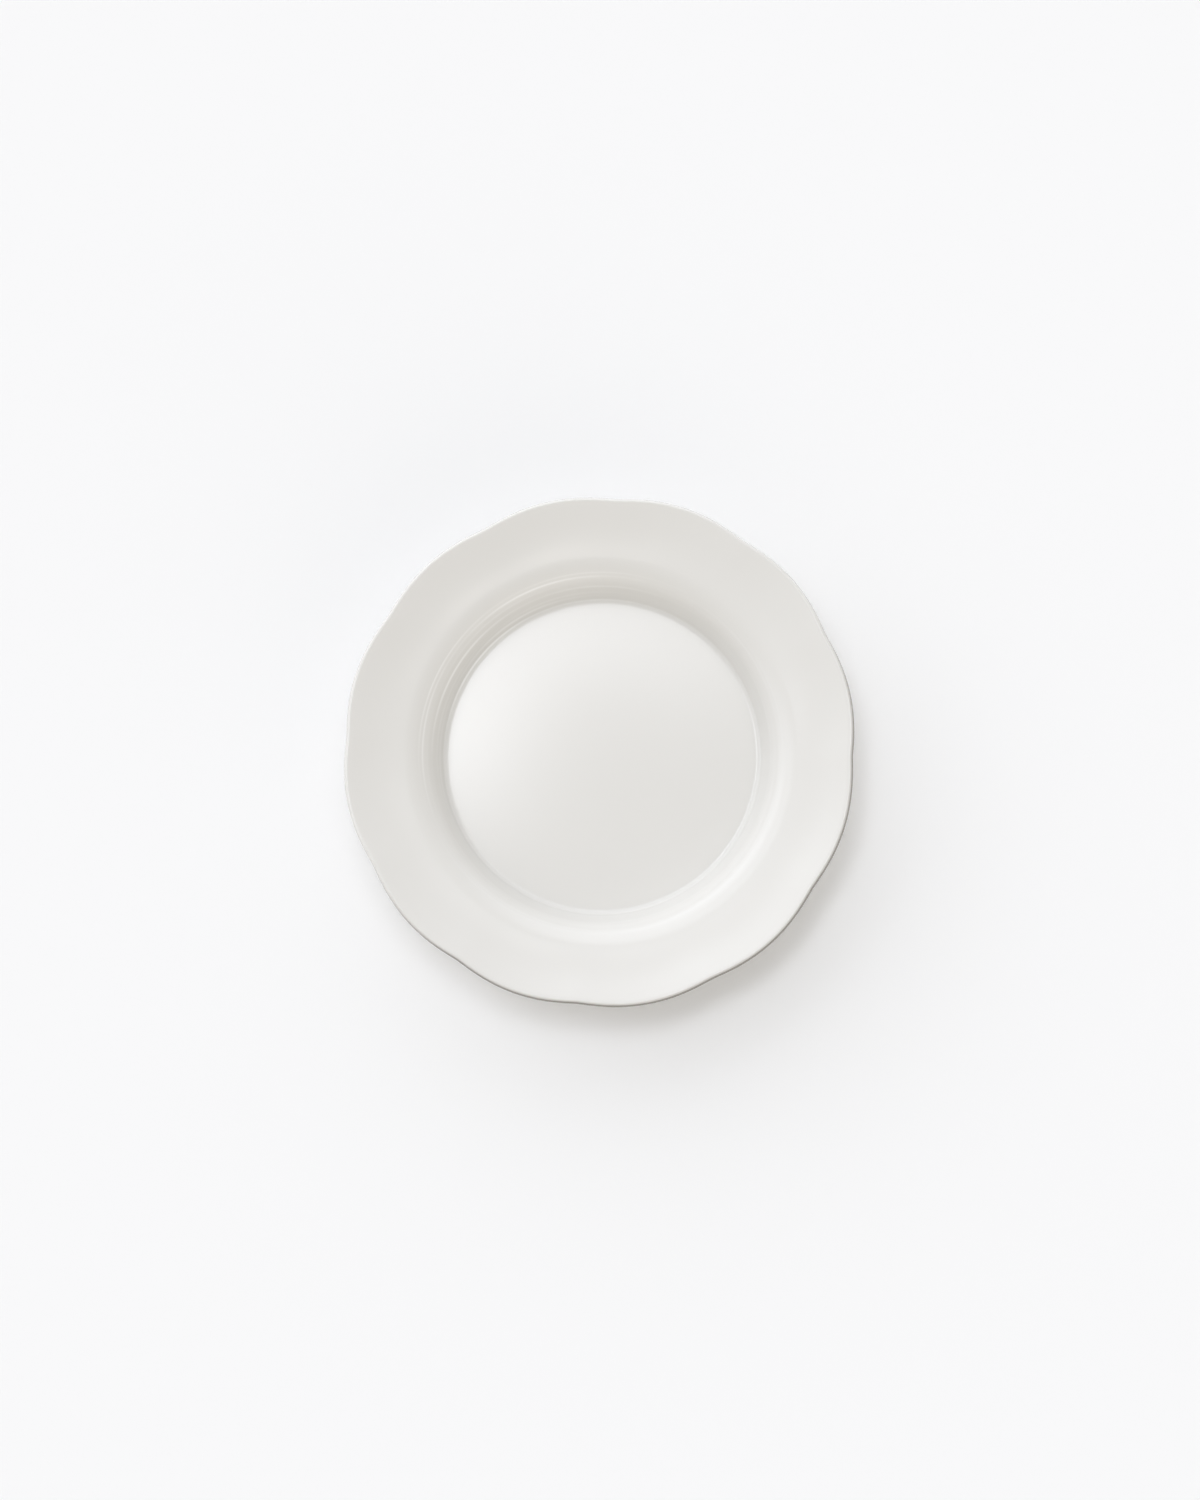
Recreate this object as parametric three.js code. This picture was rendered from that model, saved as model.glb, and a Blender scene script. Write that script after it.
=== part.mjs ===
// Glazed soup plate: clay body, luted foot ring, glaze coat and base glaze.
// Millimetres, +Z up, origin at the centre of the standing face.
import * as THREE from 'three';

// Finished sizes of the plate, measured over the glaze
const RIM_DIAMETER = 240;
const WELL_DIAMETER = 167;
const FLOOR_DIAMETER = 149;
const WELL_DEPTH = 17.7;
const FLOOR_CROWN = 2.2;
const WALL_THICKNESS = 4.2;

// The rim rises from the well at a slope, in degrees, and lifts a little before its lip
const RIM_INNER_SLOPE = 13.5;
const RIM_OUTER_SLOPE = 20;
const RIM_LIFT_SHARE = 0.55;

// Radii that round the section
const FLOOR_ROUND = 2.8;
const SHOULDER_ROUND = 20;
const RIM_ROUND = 120;
const LIP_ROUND = 1;
const LIP_UNDER_ROUND = 1.5;
const UNDER_SHOULDER_ROUND = 17;
const BASE_ROUND = 6;

// Foot ring and the bare edge that it stands on
const FOOT_DIAMETER = 134;
const FOOT_WIDTH = 7;
const FOOT_HEIGHT = 4.2;
const FOOT_TAPER = 0.5;
const FOOT_EDGE_ROUND = 1;

// Glaze, and how far above the standing face it stops
const GLAZE_THICKNESS = 0.4;
const GLAZE_LINE = 1.7;

// Scalloped rim: the lobes meet in notches at these angles, counter-clockwise from +X
const NOTCH_ANGLES = [27, 55.5, 86.5, 117.5, 147.5, 177, 207, 236, 265, 296, 326.5, 358];
const NOTCH_DEPTH = 1.6;
const NOTCH_SOFTNESS = 0.12;

// Slight out-of-round of the hand-finished rim
const OVAL = 0.34;
const OVAL_ANGLE = 74;
const TREFOIL = 0.47;
const TREFOIL_ANGLE = 59;

// Fineness of the facets
const STEPS_PER_LOBE = 6;
const FLOOR_STEPS = 3;
const ROUND_TOLERANCE = 0.12;

function radians(degrees) {
  return degrees * Math.PI / 180;
}

function spot(r, z) {
  return new THREE.Vector2(r, z);
}

// A section runs with the air on its left
function heading(from, to) {
  return to.clone().sub(from).normalize();
}

function leftOf(direction) {
  return spot(-direction.y, direction.x);
}

// Chain of points moved to its left by a distance, with mitred corners
function shifted(points, distance) {
  return points.map((point, i) => {
    const previous = points[i - 1];
    const next = points[i + 1];
    const before = leftOf(heading(previous ?? point, previous ? point : next));
    const after = leftOf(heading(next ? point : previous, next ?? point));
    const middle = before.clone().add(after).normalize();
    return point.clone().addScaledVector(middle, distance / middle.dot(before));
  });
}

// Points of an arc, close enough together to stay within the tolerance of the true round
function arc(start, centre, turn) {
  const step = 2 * Math.acos(1 - Math.min(ROUND_TOLERANCE / start.distanceTo(centre), 0.5));
  const steps = Math.ceil(Math.abs(turn) / step);
  const points = [];
  for (let i = 0; i <= steps; i += 1) {
    points.push(start.clone().rotateAround(centre, turn * i / steps));
  }
  return points;
}

// Corner between two neighbours rounded by a radius, which takes less than half of its shorter side
function rounded(previous, point, next, round) {
  const into = heading(previous, point);
  const out = heading(point, next);
  const turn = Math.atan2(into.cross(out), into.dot(out));
  const bend = Math.tan(Math.abs(turn) / 2);
  const room = 0.48 * Math.min(point.distanceTo(previous), point.distanceTo(next));
  const reach = Math.min(round * bend, room);
  const start = point.clone().addScaledVector(into, -reach);
  const centre = start.clone().addScaledVector(leftOf(into), Math.sign(turn) * reach / bend);
  return arc(start, centre, turn);
}

// Levels and radii worked out from the sizes
const rimRadius = RIM_DIAMETER / 2;
const wellRadius = WELL_DIAMETER / 2;
const floorRadius = FLOOR_DIAMETER / 2;
const footOuter = FOOT_DIAMETER / 2;
const footInner = footOuter - FOOT_WIDTH;
const floorLevel = FOOT_HEIGHT + WALL_THICKNESS;
const shoulderLevel = floorLevel + WELL_DEPTH;
const liftRadius = wellRadius + (rimRadius - wellRadius) * RIM_LIFT_SHARE;
const liftLevel = shoulderLevel + (liftRadius - wellRadius) * Math.tan(radians(RIM_INNER_SLOPE));

// The lip ends square to the rim, so that its lower edge, once rounded, is the widest part
const rimRun = spot(1, 0).rotateAround(spot(0, 0), radians(RIM_OUTER_SLOPE));
const lift = spot(liftRadius, liftLevel);
const lipOverhang = WALL_THICKNESS * rimRun.y - LIP_UNDER_ROUND * (rimRun.x + rimRun.y - 1);
const lipReach = (rimRadius - lipOverhang - liftRadius) / rimRun.x;

// Corners of the face from the axis to the lip, and of the back at the wall's thickness behind them
const face = [
  spot(0, floorLevel),
  spot(floorRadius, floorLevel),
  spot(wellRadius, shoulderLevel),
  lift,
  lift.clone().addScaledVector(rimRun, lipReach),
];
const back = shifted(face, -WALL_THICKNESS);

// Domed floor, a parabola that runs smoothly into the rounded edge
const domeApex = spot(0, floorLevel + 2 * FLOOR_CROWN);
const floorEdge = rounded(domeApex, face[1], face[2], FLOOR_ROUND);
const domeEdge = floorEdge[0];
const domeRise = (domeApex.y - domeEdge.y) / 2;
const floor = [];
for (let step = 0; step < FLOOR_STEPS; step += 1) {
  const share = step / FLOOR_STEPS;
  floor.push(spot(domeEdge.x * share, domeEdge.y + domeRise * (1 - share ** 2)));
}

// Finished surface of the coat: over the face, round the lip, down the outside to the glaze line
const footDraft = FOOT_TAPER * (1 - GLAZE_LINE / FOOT_HEIGHT);
const footCorner = spot(footOuter, FOOT_HEIGHT);
const finished = [
  ...floor,
  ...floorEdge,
  ...rounded(face[1], face[2], face[3], SHOULDER_ROUND),
  ...rounded(face[2], face[3], face[4], RIM_ROUND),
  ...rounded(face[3], face[4], back[4], LIP_ROUND),
  ...rounded(face[4], back[4], back[3], LIP_UNDER_ROUND),
  ...rounded(back[4], back[3], back[2], RIM_ROUND),
  ...rounded(back[3], back[2], back[1], UNDER_SHOULDER_ROUND),
  ...rounded(back[2], back[1], footCorner, BASE_ROUND),
  footCorner,
  spot(footOuter - footDraft, GLAZE_LINE),
];

// Clay under that coat
const clay = shifted(finished, -GLAZE_THICKNESS);
clay[0].x = 0;
const [ringTopOuter, ringLineOuter] = clay.slice(-2);

// Glaze inside the foot ring, and the clay that it lies on
const baseFinished = [
  spot(footInner + footDraft, GLAZE_LINE),
  spot(footInner, FOOT_HEIGHT),
  spot(0, FOOT_HEIGHT),
];
const baseClay = shifted(baseFinished, -GLAZE_THICKNESS);
const [ringLineInner, ringTopInner, baseCentre] = baseClay;

// Foot ring, bare below the two glaze lines
const standOuter = spot(ringLineOuter.x - FOOT_TAPER, 0);
const standInner = spot(ringLineInner.x + FOOT_TAPER, 0);
const ring = [
  ringTopOuter,
  ringLineOuter,
  ...rounded(ringLineOuter, standOuter, standInner, FOOT_EDGE_ROUND),
  ...rounded(standOuter, standInner, ringLineInner, FOOT_EDGE_ROUND),
  ringLineInner,
  ringTopInner,
  ringTopOuter,
];

// Distance that the rim draws in from its widest circle, at a share of the way along one lobe
function scallop(share) {
  const swell = Math.hypot(Math.sin(Math.PI * share), NOTCH_SOFTNESS) - NOTCH_SOFTNESS;
  const fullSwell = Math.hypot(1, NOTCH_SOFTNESS) - NOTCH_SOFTNESS;
  return NOTCH_DEPTH * (1 - swell / fullSwell);
}

function outOfRound(angle) {
  const oval = OVAL * Math.cos(2 * (angle - radians(OVAL_ANGLE)));
  return oval + TREFOIL * Math.cos(3 * (angle - radians(TREFOIL_ANGLE)));
}

// Puts each turned point at the angle of its own lobe and draws the rim in to the scalloped outline
function scalloped(geometry, steps) {
  const position = geometry.getAttribute('position');
  for (let i = 0; i < position.count; i += 1) {
    const r = Math.hypot(position.getX(i), position.getY(i));
    const turn = Math.atan2(position.getY(i), position.getX(i)) / (2 * Math.PI);
    const step = Math.round((turn + 1) * steps) % steps;
    const lobe = Math.floor(step / STEPS_PER_LOBE);
    const share = step / STEPS_PER_LOBE - lobe;
    const from = NOTCH_ANGLES[lobe];
    const to = NOTCH_ANGLES[lobe + 1] ?? NOTCH_ANGLES[0] + 360;
    const angle = radians(from + (to - from) * share);
    const weight = THREE.MathUtils.smoothstep(r, wellRadius, rimRadius);
    const radius = r - weight * (scallop(share) - outOfRound(angle));
    position.setX(i, radius * Math.cos(angle));
    position.setY(i, radius * Math.sin(angle));
  }
  geometry.computeVertexNormals();
}

// Splits the first rows of facets along their other diagonal, so a lining meets its clay facet for facet
function crossed(geometry, rows, linedRows) {
  const index = geometry.getIndex();
  for (let quad = 0; quad < index.count / 6; quad += 1) {
    if (quad % rows < linedRows) {
      index.setX(quad * 6 + 2, index.getX(quad * 6 + 3));
      index.setX(quad * 6 + 5, index.getX(quad * 6));
    }
  }
}

function turned(name, section, look, linedRows = 0) {
  const steps = NOTCH_ANGLES.length * STEPS_PER_LOBE;
  const geometry = new THREE.LatheGeometry(section.slice().reverse(), steps).rotateX(Math.PI / 2);
  crossed(geometry, section.length - 1, linedRows);
  scalloped(geometry, steps);
  const mesh = new THREE.Mesh(geometry, new THREE.MeshStandardMaterial({ metalness: 0, ...look }));
  mesh.name = name;
  return mesh;
}

const plate = new THREE.Group();
plate.name = 'soup_plate';

const body = [...clay.slice(0, -1), baseCentre];
plate.add(turned('clay_body', body, { color: 0xd9cdb8, roughness: 0.85 }));

plate.add(turned('foot_ring', ring, { color: 0xd3c5ae, roughness: 0.9 }));

const coat = [...finished, ...clay.slice().reverse()];
plate.add(turned('glaze_coat', coat, { color: 0xe6e4de, roughness: 0.12 }, clay.length - 1));

const baseGlaze = [...baseClay.slice().reverse(), ...baseFinished];
plate.add(turned('base_glaze', baseGlaze, { color: 0xe4e2db, roughness: 0.15 }));

export default plate;
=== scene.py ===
"""Glazed soup plate with a scalloped rim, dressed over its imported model, on a pale studio floor."""
import math

import bpy
import numpy as np
from mathutils import Euler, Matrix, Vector


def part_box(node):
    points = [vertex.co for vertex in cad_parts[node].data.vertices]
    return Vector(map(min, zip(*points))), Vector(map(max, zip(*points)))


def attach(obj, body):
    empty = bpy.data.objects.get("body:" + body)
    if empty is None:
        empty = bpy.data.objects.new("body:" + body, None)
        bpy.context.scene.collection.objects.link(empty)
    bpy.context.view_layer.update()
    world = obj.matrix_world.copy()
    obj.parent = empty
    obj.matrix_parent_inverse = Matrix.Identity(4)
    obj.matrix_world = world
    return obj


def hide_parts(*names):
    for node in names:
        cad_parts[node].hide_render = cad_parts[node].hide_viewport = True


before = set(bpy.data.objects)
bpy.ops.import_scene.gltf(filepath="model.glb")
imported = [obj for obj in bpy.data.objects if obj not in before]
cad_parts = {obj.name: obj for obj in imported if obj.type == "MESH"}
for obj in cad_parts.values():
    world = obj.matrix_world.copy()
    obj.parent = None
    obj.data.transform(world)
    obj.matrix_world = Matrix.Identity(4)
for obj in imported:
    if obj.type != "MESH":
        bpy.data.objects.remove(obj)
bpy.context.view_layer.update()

MM = 0.001

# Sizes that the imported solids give, in millimetres
coat_low, coat_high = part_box("glaze_coat")
_, body_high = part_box("clay_body")
_, ring_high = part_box("foot_ring")
GLAZE = (coat_high[2] - body_high[2]) / MM
GLAZE_LINE = coat_low[2] / MM
FOOT_HEIGHT = ring_high[2] / MM - GLAZE

# Finished sizes of the plate over its glaze, in millimetres and degrees
RIM_RADIUS = 120.0
WELL_RADIUS = 83.5
FLOOR_RADIUS = 74.5
WELL_DEPTH = 17.7
FLOOR_CROWN = 2.2
WALL = 4.2
RIM_INNER_SLOPE = 13.5
RIM_OUTER_SLOPE = 20.0
RIM_LIFT_SHARE = 0.55
FLOOR_ROUND = 2.8
SHOULDER_ROUND = 20.0
RIM_ROUND = 120.0
LIP_ROUND = 1.0
LIP_UNDER_ROUND = 1.5
UNDER_SHOULDER_ROUND = 17.0
BASE_ROUND = 6.0
FOOT_RADIUS = 67.0
FOOT_WIDTH = 7.0
FOOT_TAPER = 0.5
FOOT_EDGE_ROUND = 1.0

# Scalloped rim: notch angles in degrees, and the hand-made unevenness of its outline
NOTCH_ANGLES = np.array([27, 55.5, 86.5, 117.5, 147.5, 177, 207, 236, 265, 296, 326.5, 358])
NOTCH_DEPTH = 1.6
NOTCH_SOFTNESS = 0.12
OVAL, OVAL_ANGLE = 0.34, 74.0
TREFOIL, TREFOIL_ANGLE = 0.47, 59.0

# Fineness of the surfaces, and the largest share of a side that one rounded corner may take
COLUMNS_PER_LOBE = 20
ARC_POINTS = 48
FILLET_POINTS = 10
FOOT_EDGE_POINTS = 12
ROLL_POINTS = 8
BASE_ROWS = 130
STANDING_SPACING = 0.6
CORNER_ROOM = 0.48

# Fine turning rings that show in the glaze on one side of the wall and, wider, under the base.
# A wave is a share of the height, a rate and a start. Fades are shares of the wall, and millimetres below.
RING_HEIGHT = 0.02
RING_SPACING = 3.0
RING_WAVES = ((0.5, 1.0, 0.0), (0.3, 1 / 1.73, 1.1), (0.2, 1 / 0.62, 2.3))
RING_FADE_IN, RING_FADE_OUT = 0.1, 0.25
BASE_RING_HEIGHT = 0.04
BASE_RING_SPACING = 3.6
BASE_EDGE_FADE, BASE_CENTRE_FADE = 6.0, 4.0

# Grooves among those rings: radius, and share of the full depth. A painted highlight whitens them on one
# side.
# The painted highlight swells and fades a few times round, shifted from groove to groove.
GROOVES = np.array([
    (74.7, 1.0), (76.4, 0.5), (77.6, 0.25), (79.6, 0.9), (81.6, 0.2), (83.6, 0.8), (85.2, 0.55)])
GROOVE_DEPTH = 0.03
GROOVE_WIDTH = 0.26
STREAK_SWELL, STREAKS_ROUND, STREAK_SHIFT = 0.4, 5, 1.9

# Sides where rings stand out, where painted highlight whitens the grooves and where painted shade darkens the
# lip's end, in degrees.
# A span is the angle from the side up to which an effect is full, then the angle from which it is least.
RING_SIDE = 137.0
RING_SPAN = (15.0, 80.0)
PAINTED_GLINT_SPAN = (10.0, 70.0)
PAINTED_SHADE_SIDE = 300.0
PAINTED_SHADE_SPAN = (60.0, 100.0)
LEAST_SHARE = 0.1

# Glaze that has run: fillets in the corners of the foot, rolled lower edge, wandering line
POOL_ROUND = 1.6
ROLL_HEIGHT = 0.6
ROLL_TURN = 0.44 * math.pi
LINE_WANDER = 0.18
WANDER_WAVES = ((0.6, 3, 0.7), (0.48, 7, 2.1), (0.3, 17, 0.0))
WANDER_REACH = 0.8

# Painted shade on the lip's end, darkest on one side; glaze thinning at the glaze lines, pools in the
# corners, wear under the foot ring.
# Reaches and heights are in millimetres, and the shaded place is a share of the way down the lip's end.
LIP_END_SHARE = 0.62
LIP_SHADE_REACH, LIP_SHADE_GAIN = 1.0, 2.5
THIN_LINE_REACH, THIN_LINE_SHARE = 0.5, 0.3
WELL_POOL_REACH = 3.0
FOOT_POOL_REACH = 1.4
BASE_POOL_REACH = 2.0
WEAR_HEIGHT = 0.5


def unit(vectors):
    """Vectors divided by their lengths."""
    return vectors / np.linalg.norm(vectors, axis=-1, keepdims=True)


def left_of(directions):
    """Directions turned a quarter to the left, which is the side of the air on every section."""
    return np.stack([-directions[..., 1], directions[..., 0]], axis=-1)


def arc(start, centre, turn, count):
    """Arc: the start point turned about the centre through equal steps up to the whole turn."""
    angles = np.linspace(0.0, turn, count)
    arm = start - centre
    return centre + np.outer(np.cos(angles), arm) + np.outer(np.sin(angles), left_of(arm))


def rounded(previous, point, following, radius, count=ARC_POINTS):
    """Corner arc: tangent to both sides, its ends set back from the corner by radius times tan(half turn).

    The set-back takes less than half of the shorter side."""
    into = unit(point - previous)
    out = unit(following - point)
    turn = math.atan2(into[0] * out[1] - into[1] * out[0], into @ out)
    bend = math.tan(abs(turn) / 2)
    room = CORNER_ROOM * min(np.linalg.norm(point - previous), np.linalg.norm(following - point))
    reach = min(radius * bend, room)
    start = point - into * reach
    centre = start + left_of(into) * math.copysign(reach / bend, turn)
    return arc(start, centre, turn, count)


def running_length(points):
    """Length along a chain up to each of its points."""
    return np.concatenate([[0.0], np.cumsum(np.linalg.norm(np.diff(points, axis=0), axis=1))])


def evenly(points, spacing):
    """Chain resampled: points at equal steps of its running length, no further apart than the spacing."""
    lengths = running_length(points)
    steps = max(2, int(math.ceil(lengths[-1] / spacing)) + 1)
    along = np.linspace(0.0, lengths[-1], steps)
    return np.column_stack([np.interp(along, lengths, points[:, 0]), np.interp(along, lengths, points[:, 1])])


def mitred(points, distance):
    """Points moved left by a distance, each along the mean of its two sides' normals."""
    normals = left_of(unit(np.diff(points, axis=0)))
    before = np.vstack([normals[:1], normals])
    after = np.vstack([normals, normals[-1:]])
    middle = unit(before + after)
    return points + middle * distance / np.sum(middle * before, axis=1, keepdims=True)


def joined(*chains):
    """One chain from several that meet end to start, each shared point kept once."""
    return np.vstack([chains[0]] + [chain[1:] for chain in chains[1:]])


def near(section, point, reach):
    """Share of each section point: a bell curve of its distance from one point, the reach being its width."""
    return np.exp(-0.5 * np.sum((section - point) ** 2, axis=1) / reach ** 2)


def eased(value, start, end):
    """Smooth step: 3 s squared less 2 s cubed, s being the share of the way from start to end, 0 to 1."""
    share = np.clip((value - start) / (end - start), 0, 1)
    return share * share * (3 - 2 * share)


def waves(turn, parts):
    """Sum of sines: each part is its share times sin(rate times turn plus start)."""
    return sum(share * np.sin(rate * turn + start) for share, rate, start in parts)


# Corner points of the section: face from the axis to the lip, back at the wall's thickness behind it
floor_level = FOOT_HEIGHT + WALL
shoulder_level = floor_level + WELL_DEPTH
lift_radius = WELL_RADIUS + (RIM_RADIUS - WELL_RADIUS) * RIM_LIFT_SHARE
lift_level = shoulder_level + (lift_radius - WELL_RADIUS) * math.tan(math.radians(RIM_INNER_SLOPE))
outer_slope = math.radians(RIM_OUTER_SLOPE)
rim_run = np.array([math.cos(outer_slope), math.sin(outer_slope)])
lip_overhang = WALL * rim_run[1] - LIP_UNDER_ROUND * (rim_run.sum() - 1)
lip_reach = (RIM_RADIUS - lip_overhang - lift_radius) / rim_run[0]
lift_point = np.array([lift_radius, lift_level])
face = np.array([
    [0.0, floor_level],
    [FLOOR_RADIUS, floor_level],
    [WELL_RADIUS, shoulder_level],
    lift_point,
    lift_point + rim_run * lip_reach,
])
back = mitred(face, -WALL)
dome_apex = face[0] + np.array([0.0, 2 * FLOOR_CROWN])
lip_edge = face[4] + LIP_END_SHARE * (back[4] - face[4])
foot_corner = np.array([FOOT_RADIUS, FOOT_HEIGHT])
foot_draft = FOOT_TAPER * (1 - GLAZE_LINE / FOOT_HEIGHT)
foot_end = np.array([FOOT_RADIUS - foot_draft, GLAZE_LINE])


def rolled_end(corner, end, to_clay):
    """Glaze edge: down the foot from its corner, then most of a quarter ellipse that rolls in to the clay."""
    along = unit(end - corner)
    turn = np.linspace(0.0, ROLL_TURN, ROLL_POINTS)
    start = end - along * ROLL_HEIGHT
    roll = start + np.outer(1 - np.cos(turn), to_clay * GLAZE) + np.outer(np.sin(turn), along * ROLL_HEIGHT)
    return np.vstack([corner, roll])


def smooth_section(fine, edge, coarse, pooled):
    """Finished face, lip and back: domed floor, rounded wall and rim, square lip, then the same run behind.

    Points have their own spacing on the wall, round the lip and elsewhere; also returns the rows of the wall.
    Where the glaze has pooled, it fillets the corner above the foot and rolls over at its lower edge."""
    floor_edge = rounded(dome_apex, face[1], face[2], FLOOR_ROUND)
    shoulder = rounded(face[1], face[2], face[3], SHOULDER_ROUND)
    lift = rounded(face[2], face[3], face[4], RIM_ROUND)
    share = np.linspace(0.0, 1.0, int(floor_edge[0, 0] / (2 * coarse)))
    dome_rise = (dome_apex[1] - floor_edge[0, 1]) / 2
    dome = np.column_stack([floor_edge[0, 0] * share, floor_edge[0, 1] + dome_rise * (1 - share ** 2)])
    wall = evenly(np.vstack([floor_edge, shoulder]), fine)
    upper_edge = rounded(face[3], face[4], back[4], LIP_ROUND)
    lower_edge = rounded(face[4], back[4], back[3], LIP_UNDER_ROUND)
    rim = evenly(np.vstack([shoulder[-1:], lift, upper_edge[:1]]), coarse)
    lip = evenly(np.vstack([upper_edge, lower_edge]), edge)
    under_lift = rounded(back[4], back[3], back[2], RIM_ROUND)
    under_shoulder = rounded(back[3], back[2], back[1], UNDER_SHOULDER_ROUND)
    base_edge = rounded(back[2], back[1], foot_corner, BASE_ROUND)
    under = evenly(np.vstack([lower_edge[-1:], under_lift, under_shoulder, base_edge]), coarse)
    if pooled:
        fillet = rounded(base_edge[-1], foot_corner, foot_end, POOL_ROUND, FILLET_POINTS)
        ledge = joined(evenly(np.vstack([base_edge[-1:], fillet[:1]]), coarse), fillet)
        foot = rolled_end(fillet[-1], foot_end, np.array([-1.0, 0.0]))
    else:
        ledge = evenly(np.vstack([base_edge[-1:], foot_corner]), coarse)
        foot = np.vstack([foot_corner, foot_end])
    rows = slice(len(dome) - 1, len(dome) + len(wall) - 1)
    return joined(dome, wall, rim, lip, under, ledge, foot), rows


def groove_bells(section, rows):
    """Share of each section point in each groove: a bell curve of the wall's radius about the groove's."""
    bells = np.zeros((len(section), len(GROOVES)))
    bells[rows] = np.exp(-0.5 * ((section[rows, :1] - GROOVES[:, 0]) / GROOVE_WIDTH) ** 2)
    return bells


def turning_rings(section, rows):
    """Offsets of the wall rows along their normals: three sines of the running length, less the grooves.

    The sines fade at both ends."""
    wall = section[rows]
    length = running_length(wall)
    share = length / length[-1]
    window = np.clip(share / RING_FADE_IN, 0, 1) * np.clip((1 - share) / RING_FADE_OUT, 0, 1)
    ripple = RING_HEIGHT * window * waves(2 * np.pi * length / RING_SPACING, RING_WAVES)
    height = ripple - GROOVE_DEPTH * groove_bells(section, rows)[rows] @ GROOVES[:, 1]
    offsets = np.zeros_like(section)
    offsets[rows] = left_of(unit(np.gradient(wall, axis=0))) * height[:, None]
    return offsets


finished, wall_rows = smooth_section(fine=0.18, edge=0.22, coarse=1.2, pooled=True)
lining, _ = smooth_section(fine=1.2, edge=0.4, coarse=3.0, pooled=False)
clay = mitred(lining, -GLAZE)
clay[0, 0] = 0.0
ring_top_outer, ring_line_outer = clay[-2:]

# Glaze inside the foot ring, and the clay that it lies on
base_line = np.array([FOOT_RADIUS - FOOT_WIDTH + foot_draft, GLAZE_LINE])
base_corner = np.array([FOOT_RADIUS - FOOT_WIDTH, FOOT_HEIGHT])
base_centre = np.array([0.0, FOOT_HEIGHT])
base_clay = mitred(np.array([base_line, base_corner, base_centre]), -GLAZE)
base_clay[2, 0] = 0.0
ring_line_inner, ring_top_inner, clay_centre = base_clay


def base_finished():
    """Glaze face under the base: rolled edge, fillet, then level to the axis with a shallow sine ripple."""
    fillet = rounded(base_line, base_corner, base_centre, POOL_ROUND, FILLET_POINTS)
    edge = rolled_end(fillet[0], base_line, np.array([1.0, 0.0]))[::-1]
    level_radius = fillet[-1, 0]
    radius = np.linspace(level_radius, 0.0, BASE_ROWS)
    ripple = BASE_RING_HEIGHT * np.sin(2 * np.pi * radius / BASE_RING_SPACING)
    ripple *= np.clip((level_radius - radius) / BASE_EDGE_FADE, 0, 1)
    ripple *= np.clip(radius / BASE_CENTRE_FADE, 0, 1)
    return joined(edge, fillet, np.column_stack([radius, FOOT_HEIGHT - ripple]))


def ring_section():
    """Foot ring: down its outside, round the two edges of its standing face, up its inside."""
    stand_outer = np.array([ring_line_outer[0] - FOOT_TAPER, 0.0])
    stand_inner = np.array([ring_line_inner[0] + FOOT_TAPER, 0.0])
    outer_edge = rounded(ring_line_outer, stand_outer, stand_inner, FOOT_EDGE_ROUND, FOOT_EDGE_POINTS)
    inner_edge = rounded(stand_outer, stand_inner, ring_line_inner, FOOT_EDGE_ROUND, FOOT_EDGE_POINTS)
    standing = evenly(np.vstack([outer_edge[-1:], inner_edge[:1]]), STANDING_SPACING)
    outside = np.vstack([ring_top_outer, ring_line_outer, outer_edge, standing[1:-1]])
    return np.vstack([outside, inner_edge, ring_line_inner, ring_top_inner])


def lobe_angles():
    """Column angles: each lobe's span between two notches cut into equal steps.

    Also returns each column's share of the way along its lobe."""
    ends = np.append(NOTCH_ANGLES[1:], NOTCH_ANGLES[0] + 360)
    share = np.arange(COLUMNS_PER_LOBE) / COLUMNS_PER_LOBE
    angles = NOTCH_ANGLES[:, None] + (ends - NOTCH_ANGLES)[:, None] * share
    return np.radians(angles.ravel()), np.tile(share, len(NOTCH_ANGLES))


def drawn_in(angle, share):
    """Scallop: the notch depth times one minus a softened sine of the way along the lobe.

    The oval and the three-sided unevenness, cosines of the angle, are taken off."""
    swell = np.hypot(np.sin(np.pi * share), NOTCH_SOFTNESS) - NOTCH_SOFTNESS
    full_swell = math.hypot(1, NOTCH_SOFTNESS) - NOTCH_SOFTNESS
    oval = OVAL * np.cos(2 * (angle - math.radians(OVAL_ANGLE)))
    trefoil = TREFOIL * np.cos(3 * (angle - math.radians(TREFOIL_ANGLE)))
    return NOTCH_DEPTH * (1 - swell / full_swell) - oval - trefoil


def facing(side, full, least):
    """Share of each column: a smooth step of its angle from a side, between the full and the least angle."""
    angle, _ = lobe_angles()
    away = np.degrees(np.arccos(np.cos(angle - math.radians(side))))
    return LEAST_SHARE + (1 - LEAST_SHARE) * eased(away, least, full)


def painted_glint_streaks():
    """Strength of each groove's painted highlight in each column: its depth, swelling and fading by a cosine
    of its own.

    It is full on the side of the rings."""
    angle, _ = lobe_angles()
    shift = STREAK_SHIFT * np.arange(len(GROOVES))[:, None]
    swell = 1 - STREAK_SWELL + STREAK_SWELL * np.cos(STREAKS_ROUND * angle + shift)
    return GROOVES[:, 1:] * swell * facing(RING_SIDE, *PAINTED_GLINT_SPAN)


def turned(section, line_end, rings):
    """Turned surface: (R cos a, R sin a, z), R being the section's radius less a smooth share of the scallop.

    Rings are offsets at their full height on their own side. Close to the end of a glaze line the height
    wanders by three slow sines of the angle."""
    angle, share = lobe_angles()
    radius = section[:, :1] - eased(section[:, :1], WELL_RADIUS, RIM_RADIUS) * drawn_in(angle, share)
    level = np.repeat(section[:, 1:], len(angle), axis=1)
    if rings is not None:
        strength = facing(RING_SIDE, *RING_SPAN)
        radius += np.outer(rings[:, 0], strength)
        level += np.outer(rings[:, 1], strength)
    if line_end is not None:
        level += LINE_WANDER * np.outer(near(section, line_end, WANDER_REACH), waves(angle, WANDER_WAVES))
    return np.stack([radius * np.cos(angle), radius * np.sin(angle), level], axis=2)


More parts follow.
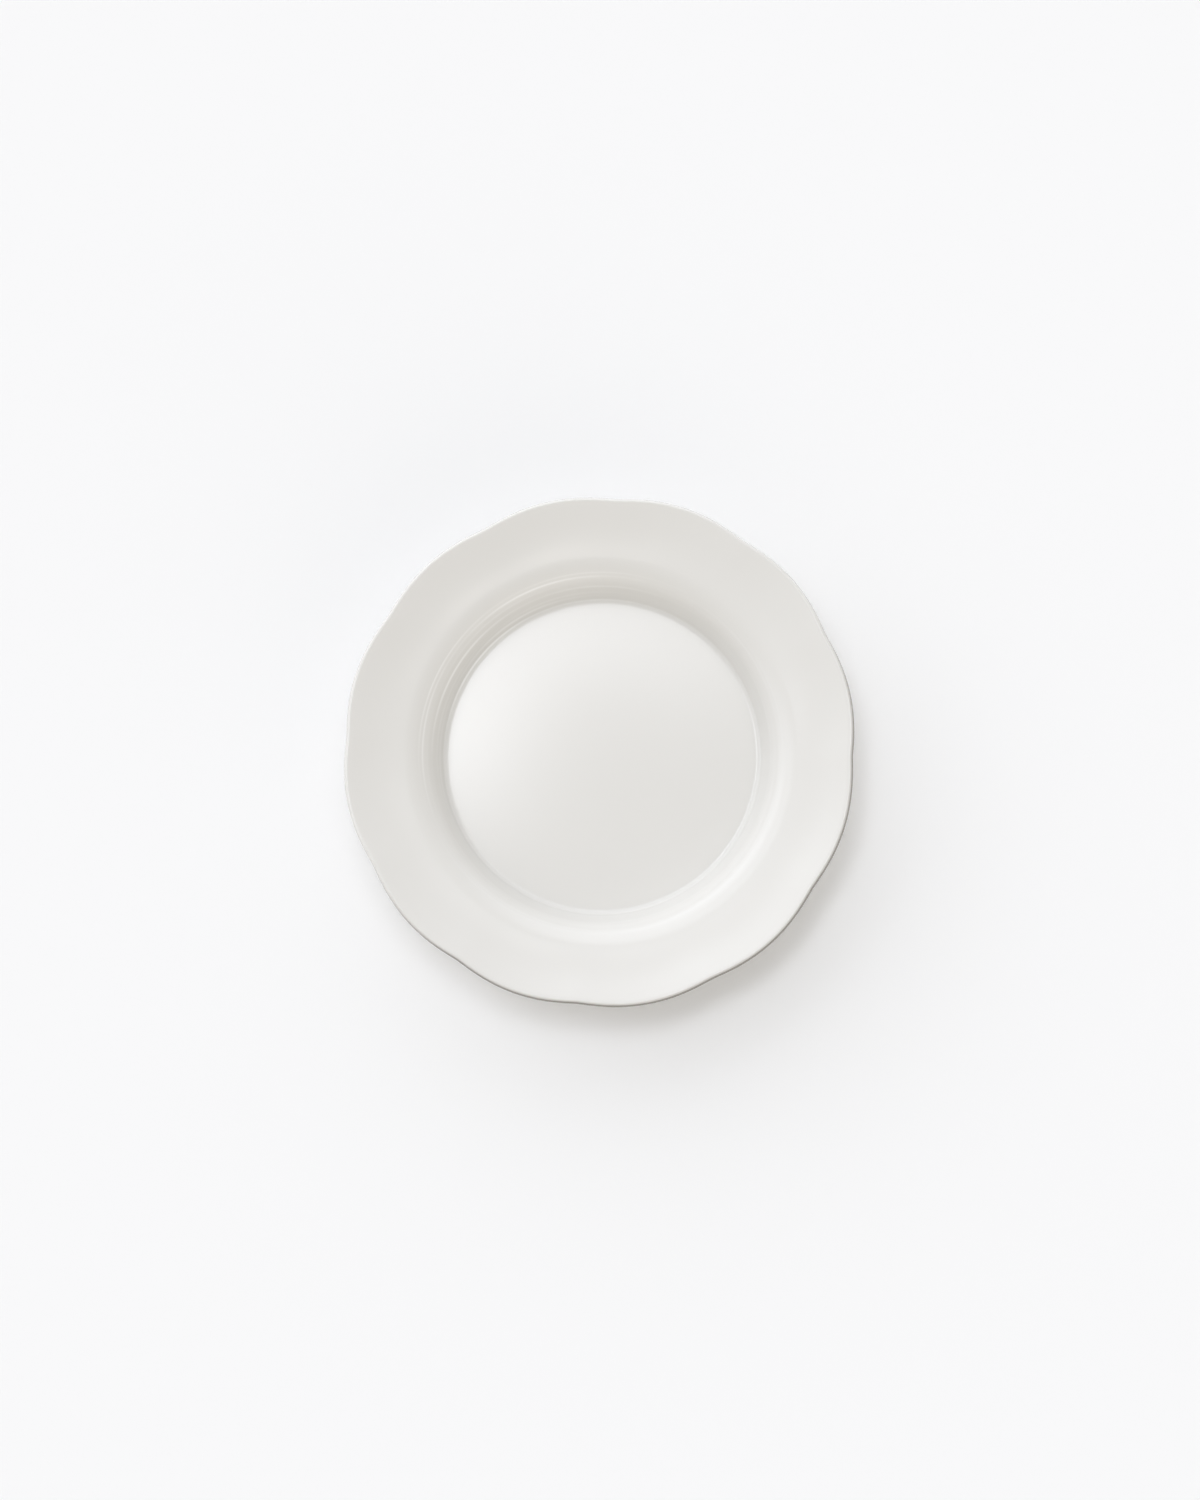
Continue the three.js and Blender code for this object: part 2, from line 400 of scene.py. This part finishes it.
def grid_faces(rows, columns, wrap_rows):
    """Quads of a grid that closes on itself along its columns, and along its rows where asked."""
    row = np.arange(rows if wrap_rows else rows - 1)[:, None] * columns
    below = (row + columns) % (rows * columns)
    column = np.arange(columns)[None, :]
    after = (column + 1) % columns
    corners = [row + column, below + column, below + after, row + after]
    return np.stack(corners, axis=2).reshape(-1, 4).tolist()


def pole_fans(rows, columns):
    """Triangles from two poles, listed after the grid's points, to its first and its last row."""
    column = np.arange(columns)
    after = (column + 1) % columns
    pole = np.full(columns, rows * columns)
    last_row = (rows - 1) * columns
    first_fan = np.column_stack([pole, column, after])
    last_fan = np.column_stack([pole + 1, last_row + after, last_row + column])
    return first_fan.tolist() + last_fan.tolist()


def listed(grid, on_axis):
    """Grid as a list, row after row; where its two end rows are on the axis, one point of each comes last."""
    rows = grid[1:-1] if on_axis else grid
    poles = [grid[0, :1], grid[-1, :1]] if on_axis else []
    return np.concatenate([rows.reshape(-1, *grid.shape[2:])] + poles)


def piece(node, section, on_axis, masks, material, line_end=None, rings=None):
    """Mesh of a turned section; ends on the axis become one pole each, any other section closes on itself.

    Masks are named shares, for each section point or each point of the surface, kept for the material."""
    surface = turned(section, line_end, rings) * MM
    rows, columns = surface.shape[:2]
    if on_axis:
        faces = grid_faces(rows - 2, columns, False) + pole_fans(rows - 2, columns)
    else:
        faces = grid_faces(rows, columns, True)
    mesh = bpy.data.meshes.new(node + "_fine")
    mesh.from_pydata(listed(surface, on_axis), [], faces)
    mesh.polygons.foreach_set("use_smooth", np.ones(len(mesh.polygons), bool))
    for label, share in masks.items():
        values = np.broadcast_to(share.reshape(rows, -1), (rows, columns))
        attribute = mesh.attributes.new(label, "FLOAT", "POINT")
        attribute.data.foreach_set("value", listed(values, on_axis).astype(np.float32))
    mesh.update()
    mesh.materials.append(material)
    made = bpy.data.objects.new(node + "_fine", mesh)
    bpy.context.scene.collection.objects.link(made)
    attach(made, "root")
    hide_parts(node)


# Finishes: tones, the share at which each one takes over, and the ranges of the patterns that place them
WHOLE = (0.0, 1.0)
NOISE_RANGE = (0.3, 0.7)
COAT_TONE = (0.775, 0.762, 0.731)
UNDER_TONE = (0.765, 0.751, 0.713)
# Edge tone: painted shade on the lip's end, and the darker clay where the glaze ends
EDGE_AND_SHADE_TONE, THIN_AND_SHADE_SHARE = (0.13, 0.115, 0.09), 0.85
CLOUD_TONE, CLOUD_SHARE = (0.70, 0.69, 0.66), 0.05
POOL_TONE, POOL_SHARE = (0.62, 0.63, 0.60), 0.10
# Painted highlight: grooves whitened to near white on one side of the wall
PAINTED_GLINT_TONE = (0.97, 0.965, 0.95)
PINHOLE_TONE, PINHOLE_SHARE = (0.30, 0.25, 0.19), 0.55
PINHOLE_EDGE, PINHOLE_CHANCE = (0.012, 0.026), (0.86, 0.87)
PINHOLE_ROUGHNESS, PINHOLE_SINK = 0.3, -4.0
GLAZE_ROUGHNESS = (0.05, 0.075)
BODY_TONE = (0.62, 0.54, 0.43)
RING_TONE = (0.60, 0.52, 0.41)
COARSE_TONE, COARSE_SHARE = (0.50, 0.41, 0.31), 0.35
GRAIN_TONE, GRAIN_SHARE, GRAIN_RANGE = (0.74, 0.67, 0.56), 0.22, (0.35, 0.65)
GROG_TONE, GROG_SHARE, GROG_EDGE = (0.36, 0.28, 0.20), 0.45, (0.10, 0.22)
WEAR_TONE, WEAR_SHARE = (0.34, 0.33, 0.31), 0.30
CLAY_ROUGHNESS = (0.82, 0.95)
COAT_RELIEF, UNDER_RELIEF, CLAY_RELIEF = 0.003 * MM, 0.004 * MM, 0.02 * MM


def feed(tree, socket, value):
    """Socket linked to the output socket it is given, or set to a tone or another constant."""
    if isinstance(value, bpy.types.NodeSocket):
        tree.links.new(value, socket)
    elif socket.type == "RGBA":
        socket.default_value = (*value, 1)
    else:
        socket.default_value = value


def wired(tree, kind, inputs, **settings):
    """Node of one kind with its settings and with its inputs fed."""
    made = tree.nodes.new(kind)
    for name, value in settings.items():
        setattr(made, name, value)
    for name, value in inputs.items():
        feed(tree, made.inputs[name], value)
    return made


def maths(tree, operation, *values):
    """Number worked out from the values by one operation."""
    return wired(tree, "ShaderNodeMath", dict(enumerate(values)), operation=operation).outputs[0]


def blended(tree, share, first, second):
    """Colour mixed from the first to the second by a share; 6, 7 and 2 are the mix node's colour sockets."""
    return wired(tree, "ShaderNodeMix", {0: share, 6: first, 7: second}, data_type="RGBA").outputs[2]


def spread(tree, value, source, target):
    """Value carried from one range to another, held at the ends."""
    ranges = {"From Min": source[0], "From Max": source[1], "To Min": target[0], "To Max": target[1]}
    return wired(tree, "ShaderNodeMapRange", {"Value": value, **ranges}).outputs["Result"]


def noise(tree, place, scale, detail, roughness=0.5):
    """Cloudy pattern over the surface, from 0 to 1."""
    shape = {"Scale": scale, "Detail": detail, "Roughness": roughness}
    return wired(tree, "ShaderNodeTexNoise", {"Vector": place, **shape}).outputs["Fac"]


def node_group(name, inputs, outputs):
    """Empty shader node group with named sockets, and its two end nodes."""
    group = bpy.data.node_groups.new(name, "ShaderNodeTree")
    for label, kind in inputs.items():
        group.interface.new_socket(name=label, in_out="INPUT", socket_type="NodeSocket" + kind)
    for label, kind in outputs.items():
        group.interface.new_socket(name=label, in_out="OUTPUT", socket_type="NodeSocket" + kind)
    return group, group.nodes.new("NodeGroupInput"), group.nodes.new("NodeGroupOutput")


def glaze_group():
    """Glaze: cloudy tone, painted shade on the lip's end, darker where it ends at the glaze lines, deeper in
    hollows, painted highlight in grooves, with sparse dark pinholes.

    Its height is a faint orange peel with the pinholes sunk into it."""
    group, enter, leave = node_group(
        "glaze_surface",
        {"Glaze": "Color", "Edge": "Color", "ThinAndShaded": "Float", "Pool": "Float", "Groove": "Float"},
        {"Colour": "Color", "Roughness": "Float", "Height": "Float"})
    place = group.nodes.new("ShaderNodeTexCoord").outputs["Object"]
    cloud = noise(group, place, scale=16.0, detail=3.0, roughness=0.55)
    peel = noise(group, place, scale=420.0, detail=1.0)
    cells = wired(group, "ShaderNodeTexVoronoi", {"Vector": place, "Scale": 62.0})
    chance = wired(group, "ShaderNodeSeparateColor", {"Color": cells.outputs["Color"]})
    hole = spread(group, cells.outputs["Distance"], PINHOLE_EDGE, (1.0, 0.0))
    rare = spread(group, chance.outputs[0], PINHOLE_CHANCE, WHOLE)
    pinhole = maths(group, "MULTIPLY", hole, rare)
    shade = spread(group, cloud, NOISE_RANGE, (0.0, CLOUD_SHARE))
    clouded = blended(group, shade, enter.outputs["Glaze"], CLOUD_TONE)
    # Painted shade: the lip's end darkened towards the edge tone, most on one side; also the glaze lines
    thinandshaded = spread(group, enter.outputs["ThinAndShaded"], WHOLE, (0.0, THIN_AND_SHADE_SHARE))
    thinned_and_shaded = blended(group, thinandshaded, clouded, enter.outputs["Edge"])
    deep = spread(group, enter.outputs["Pool"], WHOLE, (0.0, POOL_SHARE))
    pooled = blended(group, deep, thinned_and_shaded, POOL_TONE)
    # Painted highlight in the grooves, on one side of the wall
    glint_painted = blended(group, enter.outputs["Groove"], pooled, PAINTED_GLINT_TONE)
    speck = spread(group, pinhole, WHOLE, (0.0, PINHOLE_SHARE))
    feed(group, leave.inputs["Colour"], blended(group, speck, glint_painted, PINHOLE_TONE))
    rough = spread(group, cloud, NOISE_RANGE, GLAZE_ROUGHNESS)
    feed(group, leave.inputs["Roughness"], maths(group, "MULTIPLY_ADD", pinhole, PINHOLE_ROUGHNESS, rough))
    feed(group, leave.inputs["Height"], maths(group, "MULTIPLY_ADD", pinhole, PINHOLE_SINK, peel))
    return group


def clay_group():
    """Fired clay: grain in two sizes, sparse dark grog, a worn grey share given from outside."""
    group, enter, leave = node_group(
        "fired_clay",
        {"Clay": "Color", "Worn": "Float"},
        {"Colour": "Color", "Roughness": "Float", "Height": "Float"})
    place = group.nodes.new("ShaderNodeTexCoord").outputs["Object"]
    coarse = noise(group, place, scale=90.0, detail=4.0, roughness=0.6)
    grain = noise(group, place, scale=1500.0, detail=2.0)
    cells = wired(group, "ShaderNodeTexVoronoi", {"Vector": place, "Scale": 520.0})
    grog = spread(group, cells.outputs["Distance"], GROG_EDGE, (GROG_SHARE, 0.0))
    tone = spread(group, coarse, NOISE_RANGE, (0.0, COARSE_SHARE))
    toned = blended(group, tone, enter.outputs["Clay"], COARSE_TONE)
    fine = spread(group, grain, GRAIN_RANGE, (0.0, GRAIN_SHARE))
    grainy = blended(group, fine, toned, GRAIN_TONE)
    specked = blended(group, grog, grainy, GROG_TONE)
    dirt = spread(group, enter.outputs["Worn"], WHOLE, (0.0, WEAR_SHARE))
    feed(group, leave.inputs["Colour"], blended(group, dirt, specked, WEAR_TONE))
    feed(group, leave.inputs["Roughness"], spread(group, grain, NOISE_RANGE, CLAY_ROUGHNESS))
    feed(group, leave.inputs["Height"], grain)
    return group


def coated_material(name, group, tones, masks, relief):
    """Material of one group: its colour, roughness and height drive the shader.

    The group's masks come from the mesh's attributes of the same names, in small letters."""
    material = bpy.data.materials.new(name)
    material.use_nodes = True
    tree = material.node_tree
    shader = tree.nodes["Principled BSDF"]
    inputs = dict(tones)
    for label in masks:
        mask = wired(tree, "ShaderNodeAttribute", {}, attribute_name=label.lower())
        inputs[label] = mask.outputs["Fac"]
    surface = wired(tree, "ShaderNodeGroup", inputs, node_tree=group)
    bump = wired(tree, "ShaderNodeBump", {
        "Height": surface.outputs["Height"], "Strength": 1.0, "Distance": relief})
    feed(tree, shader.inputs["Base Color"], surface.outputs["Colour"])
    feed(tree, shader.inputs["Roughness"], surface.outputs["Roughness"])
    feed(tree, shader.inputs["Normal"], bump.outputs["Normal"])
    return material


glaze_surface = glaze_group()
fired_clay = clay_group()
coat_glaze = coated_material(
    "coat_glaze", glaze_surface, {"Glaze": COAT_TONE, "Edge": EDGE_AND_SHADE_TONE}, ("ThinAndShaded", "Pool", "Groove"),
    COAT_RELIEF)
under_glaze = coated_material(
    "under_glaze", glaze_surface, {"Glaze": UNDER_TONE, "Edge": EDGE_AND_SHADE_TONE}, ("ThinAndShaded", "Pool"), UNDER_RELIEF)
body_clay = coated_material("body_clay", fired_clay, {"Clay": BODY_TONE}, (), CLAY_RELIEF)
ring_clay = coated_material("ring_clay", fired_clay, {"Clay": RING_TONE}, ("Worn",), CLAY_RELIEF)

# Glaze over the face, the lip and the outside
coat = np.vstack([finished, clay[::-1]])
coat_rings = np.vstack([turning_rings(finished, wall_rows), np.zeros_like(clay)])
# Painted shade on the lip's end, full on one side, added to the glaze thinning above the foot
lip_end = np.minimum(LIP_SHADE_GAIN * near(coat, lip_edge, LIP_SHADE_REACH), 1.0)
coat_line = THIN_LINE_SHARE * near(coat, foot_end, THIN_LINE_REACH)
coat_pools = near(coat, face[1], WELL_POOL_REACH) + near(coat, foot_corner, FOOT_POOL_REACH)
coat_masks = {
    "thinandshaded": np.outer(lip_end, facing(PAINTED_SHADE_SIDE, *PAINTED_SHADE_SPAN)) + coat_line[:, None],
    # painted highlight in the grooves
    "groove": groove_bells(coat, wall_rows) @ painted_glint_streaks(),
    "pool": np.clip(coat_pools, 0, 1),
}
piece("glaze_coat", coat, True, coat_masks, coat_glaze, line_end=foot_end, rings=coat_rings)

# Glaze inside the foot ring
base = np.vstack([base_clay[::-1], base_finished()])
base_masks = {
    "thinandshaded": THIN_LINE_SHARE * near(base, base_line, THIN_LINE_REACH),
    "pool": near(base, base_corner, BASE_POOL_REACH),
}
piece("base_glaze", base, True, base_masks, under_glaze, line_end=base_line)

# Clay of the body, under both glazes
body = np.vstack([clay[:-1], clay_centre])
piece("clay_body", body, True, {}, body_clay)

# Clay of the foot ring, bare and worn where it stands
ring = ring_section()
ring_masks = {"worn": np.clip(1 - ring[:, 1] / WEAR_HEIGHT, 0, 1)}
piece("foot_ring", ring, False, ring_masks, ring_clay)

# Pale studio floor, in metres
SHEET_REACH = 6.0
SHEET_TONE = (0.92, 0.92, 0.92)


def studio_floor():
    """Broad level sheet under the plate."""
    mesh = bpy.data.meshes.new("studio_floor")
    corners = [(x * SHEET_REACH, y * SHEET_REACH, 0) for x, y in ((-1, -1), (1, -1), (1, 1), (-1, 1))]
    mesh.from_pydata(corners, [], [(0, 1, 2, 3)])
    sheet = bpy.data.objects.new("studio_floor", mesh)
    bpy.context.scene.collection.objects.link(sheet)
    material = bpy.data.materials.new("floor_pale")
    material.use_nodes = True
    tree = material.node_tree
    shader = tree.nodes["Principled BSDF"]
    feed(tree, shader.inputs["Base Color"], SHEET_TONE)
    feed(tree, shader.inputs["Roughness"], 1.0)
    feed(tree, shader.inputs["Specular IOR Level"], 0.0)
    mesh.materials.append(material)


# Soft studio light: cool panels on one side, and a warm fill with warm panels on the other.
# A panel is azimuth, elevation, width and height in degrees, and strength.
COOL_TONE = (0.955, 0.987, 1.052)
COOL_PANELS = [
    (138.0, 72.0, 8.0, 4.0, 5.0),
    (152.0, 76.0, 5.0, 4.0, 3.7),
    (95.0, 68.0, 9.0, 5.0, 2.8),
    (81.0, 74.3, 10.0, 4.0, 2.5),
    (130.0, 45.0, 30.0, 7.0, 1.15),
    (150.0, 20.0, 20.0, 8.0, 1.5),
    (100.0, 24.0, 24.0, 12.0, 1.1),
    (110.0, 8.0, 36.0, 6.0, 1.2),
]
WARM_TONE = (1.04, 1.008, 0.96)
WARM_FILL = 0.36
WARM_PANELS = [
    (292.0, 16.0, 30.0, 14.0, 1.15),
    (300.0, 9.0, 24.0, 1.2, 2.0),
    (300.0, 80.0, 8.0, 5.0, 2.8),
]


def panel_group():
    """Soft panel in the sky: strength times a bell curve across its width and one up its height."""
    group, enter, leave = node_group(
        "soft_panel", {"Middle": "Vector", "Across": "Vector", "Upward": "Vector", "Strength": "Float"},
        {"Light": "Float"})
    sky = group.nodes.new("ShaderNodeTexCoord").outputs["Generated"]

    def along(label):
        """How far the direction of the sky runs along one of the panel's axes."""
        vectors = {0: sky, 1: enter.outputs[label]}
        return wired(group, "ShaderNodeVectorMath", vectors, operation="DOT_PRODUCT").outputs["Value"]

    side = along("Across")
    rise = along("Upward")
    off = maths(group, "MULTIPLY_ADD", side, side, maths(group, "MULTIPLY", rise, rise))
    bell = maths(group, "EXPONENT", maths(group, "MULTIPLY", off, -0.5))
    front = maths(group, "GREATER_THAN", along("Middle"), 0.0)
    shown = maths(group, "MULTIPLY", bell, front)
    feed(group, leave.inputs["Light"], maths(group, "MULTIPLY", shown, enter.outputs["Strength"]))
    return group


def side_light(tree, group, panels, tone, fill):
    """Light of one side: its fill and every panel of it added up, in one tone."""
    up = Vector((0, 0, 1))
    total = fill
    for azimuth, elevation, width, height, strength in panels:
        turn = math.radians(azimuth)
        lift = math.radians(elevation)
        outward = Vector((math.cos(turn), math.sin(turn), 0))
        panel = wired(tree, "ShaderNodeGroup", {
            "Middle": outward * math.cos(lift) + up * math.sin(lift),
            "Across": up.cross(outward) / math.radians(width),
            "Upward": (up * math.cos(lift) - outward * math.sin(lift)) / math.radians(height),
            "Strength": strength}, node_tree=group)
        total = maths(tree, "ADD", panel.outputs["Light"], total)
    return wired(tree, "ShaderNodeBackground", {"Color": tone, "Strength": total}).outputs[0]


def studio_world():
    """Sky of the studio: the cool side and the warm side together."""
    world = bpy.data.worlds.new("studio")
    bpy.context.scene.world = world
    world.use_nodes = True
    tree = world.node_tree
    tree.nodes.remove(tree.nodes["Background"])
    group = panel_group()
    cool = side_light(tree, group, COOL_PANELS, COOL_TONE, 0.0)
    warm = side_light(tree, group, WARM_PANELS, WARM_TONE, WARM_FILL)
    both = wired(tree, "ShaderNodeAddShader", {0: cool, 1: warm})
    feed(tree, tree.nodes["World Output"].inputs["Surface"], both.outputs[0])


studio_floor()
studio_world()
bpy.context.scene.view_settings.view_transform = "Standard"

# Camera: the view of the photograph, almost straight down, standing a little to the near side and the right.
# Metres, and the sensor in millimetres.
VIEW_DISTANCE = 1.6
VIEW_LEAN = Euler((math.radians(7.0), math.radians(2.2), 0.0))
VIEW_AIM = Vector((0.0002, -0.0005, 0.036))
FRAME_HEIGHT = 0.6968
SENSOR = 36.0
camera_data = bpy.data.cameras.new("camera")
camera = bpy.data.objects.new("camera", camera_data)
bpy.context.scene.collection.objects.link(camera)
bpy.context.scene.camera = camera
camera.location = VIEW_AIM + VIEW_LEAN.to_matrix() @ Vector((0, 0, VIEW_DISTANCE))
camera.rotation_euler = VIEW_LEAN
camera_data.sensor_width = SENSOR
camera_data.lens = SENSOR * VIEW_DISTANCE / FRAME_HEIGHT
